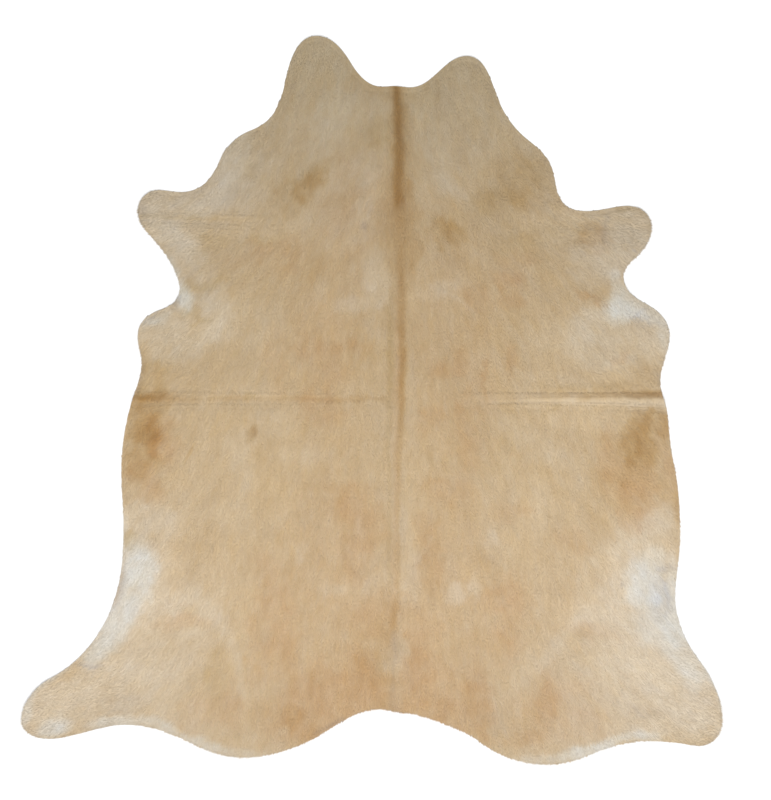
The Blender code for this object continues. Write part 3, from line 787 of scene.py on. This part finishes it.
def mesh_from(name, points, triangles):
    """A mesh object made from arrays of points and triangles."""
    mesh = bpy.data.meshes.new(name)
    mesh.vertices.add(len(points))
    mesh.vertices.foreach_set("co", np.asarray(points, np.float32).ravel())
    mesh.loops.add(3 * len(triangles))
    mesh.loops.foreach_set("vertex_index", np.asarray(triangles, np.int32).ravel())
    mesh.polygons.add(len(triangles))
    mesh.polygons.foreach_set("loop_start", np.arange(0, 3 * len(triangles), 3, dtype=np.int32))
    mesh.update(calc_edges=True)
    mesh.validate()
    thing = bpy.data.objects.new(name, mesh)
    bpy.context.scene.collection.objects.link(thing)
    return thing


def store_tones(mesh, tones):
    """Keeps a colour for each point as the attribute that the materials read."""
    layer = mesh.color_attributes.new("tone", "FLOAT_COLOR", "POINT")
    opaque = np.column_stack([tones, np.ones(len(tones))])
    layer.data.foreach_set("color", opaque.astype(np.float32).ravel())


def store_map(mesh, places):
    """Lays the mesh out for textures, from a place between 0 and 1 for each point."""
    corners = np.empty(len(mesh.loops), np.int32)
    mesh.loops.foreach_get("vertex_index", corners)
    layer = mesh.uv_layers.new(name="OFBake", do_init=False)
    layer.uv.foreach_set("vector", places[corners].astype(np.float32).ravel())


def within_box(points):
    """Each point's place in the box around them all, from 0 to 1 both ways."""
    low, high = points.min(axis=0), points.max(axis=0)
    return (points - low) / (high - low)


def make_skin(outline):
    """The skin as one closed sheet: hair side, cut edge and flesh side."""
    rim = evenly_spaced(outline, RIM_STEP)
    rim = rim - outward(rim) * RIM_INSET
    bulge = rim + outward(rim) * RIM_BULGE
    top, top_faces = filled(rim, TOP_STEP, FOLD_STEP)
    under, under_faces = filled(rim, UNDERSIDE_STEP, TOP_STEP)
    count, middle = len(rim), len(top) + len(under)
    points = np.vstack([
        np.column_stack([top, underside_height(top) + SKIN_THICKNESS]),
        np.column_stack([under, underside_height(under)]),
        np.column_stack([bulge, underside_height(rim) + SKIN_THICKNESS / 2]),
    ])
    around = np.arange(count)
    ahead = (around + 1) % count
    walls = []
    for lower, upper in ((len(top), middle), (middle, 0)):
        walls.append(np.column_stack([lower + around, lower + ahead, upper + ahead]))
        walls.append(np.column_stack([lower + around, upper + ahead, upper + around]))
    walls = np.vstack(walls)
    triangles = np.vstack([top_faces, len(top) + under_faces[:, ::-1], walls])
    skin = mesh_from("hide_skin", points, triangles)
    mesh = skin.data
    for make in (hair_ground, flesh_side, cut_edge):
        mesh.materials.append(make())
    kinds = np.repeat([0, 1, 2], [len(top_faces), len(under_faces), len(walls)])
    mesh.polygons.foreach_set("material_index", kinds.astype(np.int32))
    mesh.shade_smooth()
    store_tones(mesh, as_light(coat_tones(points[:, :2])))
    left_half = np.array([0.5, 1.0])
    places = within_box(points[:, :2]) * (MAP_SHARE * left_half) + MAP_MARGIN * left_half
    places[len(top):middle, 0] += 0.5
    store_map(mesh, places)
    return skin


def lock_roots(outline, rng):
    """Where the locks grow: evenly all over, a little jittered, with more along the rim."""
    area_each = FLAT_AREA / LOCK_COUNT
    step = math.sqrt(area_each * 2 / math.sqrt(3))
    rim = outline - outward(outline) * RIM_INSET
    grid = points_within(rim, step)
    closer = points_within(rim, step * FOLD_CLOSER)
    grid = np.vstack([grid, closer[on_fold(closer)]])
    grid += rng.uniform(-JITTER, JITTER, grid.shape) * step
    edge = evenly_spaced(rim, EDGE_STEP)
    edge = edge - outward(edge) * rng.uniform(*EDGE_INSET, len(edge))[:, None]
    return np.vstack([grid, edge])


def make_locks(outline):
    """Every lock as four points: left and right of its root, its ridge and its tip."""
    rng = np.random.default_rng(LOCK_SEED)
    roots = lock_roots(outline, rng)
    count = len(roots)
    heading = hair_heading(roots)
    turn = rng.normal(0.0, math.radians(LOCK_TURN), count)
    heading = np.column_stack([
        heading[:, 0] * np.cos(turn) - heading[:, 1] * np.sin(turn),
        heading[:, 0] * np.sin(turn) + heading[:, 1] * np.cos(turn),
    ])
    full_length = rng.uniform(*LOCK_LENGTH, count)
    length = cut_at_folds(roots, heading, full_length)
    kept = length / full_length
    length = cut_at_rim(roots, heading, length, outline)
    width = rng.uniform(*LOCK_WIDTH, count)
    rise = rng.uniform(*LOCK_RISE, count) * kept
    tips = roots + heading * length[:, None]
    aside = np.column_stack([-heading[:, 1], heading[:, 0]])
    places = (
        roots - aside * width[:, None] / 2,
        roots + aside * width[:, None] / 2,
        roots + heading * (RIDGE_PLACE * length)[:, None],
        tips,
    )
    left, right, ridge, tip = [underside_height(place) + SKIN_THICKNESS for place in places]
    sunk = LOCK_SUNK + FOLD_SUNK * (1 - kept)
    left, right, tip = left - sunk, right - sunk, tip + rise
    ridge = np.maximum(ridge, (left + right) / 2 * (1 - RIDGE_PLACE) + tip * RIDGE_PLACE) + RIDGE_HEIGHT
    heights = (left, right, ridge, tip)
    return np.stack([np.column_stack(corner) for corner in zip(places, heights)], axis=1), rng


def height_along(roots, heading, length, share):
    """The skin's height under each lock, at a share of its length."""
    return underside_height(roots + heading * (share * length)[:, None])


def cut_at_folds(roots, heading, length):
    """The lengths, shortened where a straight lock would leave the curve of the skin."""
    for _ in range(CUT_ROUNDS):
        root, tip = [height_along(roots, heading, length, share) for share in (0.0, 1.0)]
        keep = np.ones(len(length))
        for share in (0.25, 0.5, 0.75):
            off = height_along(roots, heading, length, share) - root - share * (tip - root)
            most = np.where(off < 0, MOST_GAP, MOST_SUNK)
            keep = np.minimum(keep, most / np.maximum(np.abs(off), TINY))
        length = np.maximum(length * np.sqrt(keep), LEAST_LENGTH)
    return length


def cut_at_rim(roots, heading, length, outline):
    """The lengths, shortened where a lock would reach past the outline."""
    line = evenly_spaced(outline, RIM_CHECK_STEP)
    away = outward(line)
    for _ in range(CUT_ROUNDS):
        tips = roots + heading * length[:, None]
        nearest, _ = nearest_on(line, tips)
        past = ((tips - line[nearest]) * away[nearest]).sum(axis=1) - OVERHANG
        slope = (heading * away[nearest]).sum(axis=1)
        shorter = length - past / np.maximum(slope, LEAST_SLOPE)
        length = np.where(past > 0, np.maximum(shorter, LEAST_LENGTH), length)
    return length


def make_coat(outline):
    """The coat as a few pieces side by side, each of tens of thousands of closed four-sided locks."""
    corners, rng = make_locks(outline)
    order = np.argsort(corners[:, 0, 0], kind="stable")
    material = coat_material()
    faces = np.array([(0, 2, 3), (2, 1, 3), (1, 0, 3), (0, 1, 2)])
    places = [(-1.0, 0.0), (1.0, 0.0), (0.0, RIDGE_PLACE), (0.0, 1.0)]
    pieces = []
    for index, chosen in enumerate(np.array_split(order, COAT_PIECES)):
        chosen = chosen[np.argsort(corners[chosen, 3, 1], kind="stable")]
        points = corners[chosen].reshape(-1, 3)
        first = 4 * np.arange(len(chosen))
        triangles = (first[:, None, None] + faces).reshape(-1, 3)
        piece = mesh_from(f"coat_{index + 1}", points, triangles)
        piece.data.materials.append(material)
        store_tones(piece.data, lock_tones(corners[chosen], rng))
        number = np.repeat(rng.uniform(0, STRAND_RANGE, len(chosen)), 4)
        strand = np.column_stack([np.tile(places, (len(chosen), 1)), number])
        layer = piece.data.attributes.new("strand", "FLOAT_VECTOR", "POINT")
        layer.data.foreach_set("vector", strand.astype(np.float32).ravel())
        store_map(piece.data, within_box(points[:, :2]) * MAP_SHARE + MAP_MARGIN)
        pieces.append(piece)
    return pieces


def lock_tones(corners, rng):
    """A colour for each point of each lock: its place's own, a little off, darker at the root."""
    middle = corners[:, [0, 1, 3], :2].mean(axis=1)
    tones = 255 * coat_tones(middle)
    count = len(tones)
    tones += rng.normal(0.0, LOCK_SHADE, count)[:, None]
    tones += rng.normal(0.0, LOCK_WARMTH, count)[:, None] * np.array(WARMER)
    every = (tones[:, None, :] * np.array(POINT_SHADES)[None, :, None]).clip(0, 255) / 255
    return as_light(every.reshape(-1, 3))


def new_material(name):
    """A new node material, its node tree and its shader."""
    material = bpy.data.materials.new(name)
    material.use_nodes = True
    return material, material.node_tree, material.node_tree.nodes["Principled BSDF"]


def noise_node(tree, source, scale, detail):
    """A noise texture over the given coordinates."""
    noise = tree.nodes.new("ShaderNodeTexNoise")
    noise.inputs["Scale"].default_value = scale
    noise.inputs["Detail"].default_value = detail
    tree.links.new(source, noise.inputs["Vector"])
    return noise.outputs["Fac"]


def spread(tree, source, low, high):
    """The source's middle values, stretched between low and high."""
    node = tree.nodes.new("ShaderNodeMapRange")
    names = ("From Min", "From Max", "To Min", "To Max")
    for name, value in zip(names, (*NOISE_MIDDLE, low, high)):
        node.inputs[name].default_value = value
    tree.links.new(source, node.inputs["Value"])
    return node.outputs["Result"]


def scaled_colour(tree, colour, factor):
    """The colour made lighter or darker by the factor."""
    node = tree.nodes.new("ShaderNodeVectorMath")
    node.operation = "SCALE"
    tree.links.new(colour, node.inputs[0])
    tree.links.new(factor, node.inputs["Scale"])
    return node.outputs["Vector"]


def bump_from(tree, source, distance, shader):
    """Small relief from the source, on the shader."""
    bump = tree.nodes.new("ShaderNodeBump")
    bump.inputs["Strength"].default_value = BUMP_STRENGTH
    bump.inputs["Distance"].default_value = distance
    tree.links.new(source, bump.inputs["Height"])
    tree.links.new(bump.outputs["Normal"], shader.inputs["Normal"])


def attribute(tree, name):
    """A node that reads a stored value of the mesh."""
    node = tree.nodes.new("ShaderNodeAttribute")
    node.attribute_name = name
    return node


def place_on_object(tree):
    """The place on the object itself, in metres."""
    return tree.nodes.new("ShaderNodeTexCoord").outputs["Object"]


def coat_material():
    """Short smooth hair: fine strands along each lock, and a soft sheen."""
    material, tree, shader = new_material("hair coat")
    stretch = tree.nodes.new("ShaderNodeMapping")
    stretch.inputs["Scale"].default_value = (1.6, 1.2, 3.0)
    tree.links.new(attribute(tree, "strand").outputs["Vector"], stretch.inputs["Vector"])
    strands = noise_node(tree, stretch.outputs["Vector"], 1.0, 3.0)
    colour = attribute(tree, "tone").outputs["Color"]
    shade = spread(tree, strands, 0.96, 1.04)
    tree.links.new(scaled_colour(tree, colour, shade), shader.inputs["Base Color"])
    tree.links.new(spread(tree, strands, 0.52, 0.68), shader.inputs["Roughness"])
    bump_from(tree, strands, 0.0002, shader)
    shader.inputs["Specular IOR Level"].default_value = 0.30
    shader.inputs["Sheen Weight"].default_value = 0.15
    shader.inputs["Sheen Roughness"].default_value = 0.45
    shader.inputs["Sheen Tint"].default_value = (1.0, 0.94, 0.85, 1.0)
    return material


def hair_ground():
    """The short hair right at the skin, between the locks: the coat's colour, darkened as painted shade
    under the locks.
    """
    material, tree, shader = new_material("hair at the skin")
    grain = noise_node(tree, place_on_object(tree), 600.0, 3.0)
    colour = attribute(tree, "tone").outputs["Color"]
    # Painted shade: the coat's colour darkened a little, to between 0.90 and 1.00 of it
    shade = spread(tree, grain, 0.90, 1.00)
    tree.links.new(scaled_colour(tree, colour, shade), shader.inputs["Base Color"])
    tree.links.new(spread(tree, grain, 0.75, 0.90), shader.inputs["Roughness"])
    bump_from(tree, grain, 0.0004, shader)
    shader.inputs["Specular IOR Level"].default_value = 0.25
    return material


def two_tone(name, light, dark, coarse, fine, relief):
    """A dull leather surface that wavers between two colours, with a fine nap."""
    material, tree, shader = new_material(name)
    place = place_on_object(tree)
    clouds = spread(tree, noise_node(tree, place, coarse, 4.0), 0.0, 1.0)
    nap = noise_node(tree, place, fine, 2.0)
    mix = tree.nodes.new("ShaderNodeMix")
    mix.data_type = "RGBA"
    mix.inputs["A"].default_value = (*as_light(np.array(light) / 255), 1.0)
    mix.inputs["B"].default_value = (*as_light(np.array(dark) / 255), 1.0)
    tree.links.new(clouds, mix.inputs["Factor"])
    colour = scaled_colour(tree, mix.outputs["Result"], spread(tree, nap, 0.92, 1.04))
    tree.links.new(colour, shader.inputs["Base Color"])
    tree.links.new(spread(tree, nap, 0.82, 0.95), shader.inputs["Roughness"])
    bump_from(tree, nap, relief, shader)
    shader.inputs["Specular IOR Level"].default_value = 0.2
    return material


def flesh_side():
    """The suede underside: pale, a little blue, with soft clouds and a short nap."""
    return two_tone("flesh side suede", (196, 190, 176), (170, 170, 164), 9.0, 900.0, 0.0004)


def cut_edge():
    """The raw edge where the skin was cut: tanned grey-blue."""
    return two_tone("cut edge", (206, 203, 194), (176, 178, 176), 60.0, 1500.0, 0.0002)


def add_floor():
    """A plain white floor, far wider than the view."""
    corners = [(x * FLOOR_REACH, y * FLOOR_REACH, 0) for x, y in ((-1, -1), (1, -1), (1, 1), (-1, 1))]
    floor = mesh_from("floor", corners, [(0, 1, 2), (0, 2, 3)])
    floor.location.z = -FLOOR_GAP
    material, _, shader = new_material("floor paper")
    shader.inputs["Base Color"].default_value = (0.96, 0.96, 0.96, 1.0)
    shader.inputs["Roughness"].default_value = 0.9
    shader.inputs["Specular IOR Level"].default_value = 0.1
    floor.data.materials.append(material)


def add_light():
    """Soft light all round, and a soft key light from the tail end."""
    scene = bpy.context.scene
    world = bpy.data.worlds.new("studio")
    world.use_nodes = True
    sky = world.node_tree.nodes["Background"]
    sky.inputs["Color"].default_value = (1.0, 1.0, 1.0, 1.0)
    sky.inputs["Strength"].default_value = SKY_STRENGTH
    scene.world = world
    lamp = bpy.data.lights.new("key", "SUN")
    lamp.energy = KEY_STRENGTH
    lamp.angle = math.radians(KEY_SOFTNESS)
    key = bpy.data.objects.new("key", lamp)
    key.rotation_euler = (math.radians(90 - KEY_ELEVATION), 0.0, 0.0)
    scene.collection.objects.link(key)
    scene.view_settings.view_transform = "Standard"


def add_camera():
    """The camera straight above, as the photograph was taken."""
    lens = bpy.data.cameras.new("camera")
    lens.lens = LENS
    lens.sensor_width = SENSOR
    camera = bpy.data.objects.new("camera", lens)
    camera.location = (*VIEW_CENTRE, VIEW_HEIGHT * LENS / SENSOR)
    bpy.context.scene.collection.objects.link(camera)
    bpy.context.scene.camera = camera


outline = frame_outline()
skin = make_skin(outline)
coat = make_coat(outline)
for piece in (skin, *coat):
    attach(piece, "root")
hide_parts("hide")
add_floor()
add_light()
add_camera()
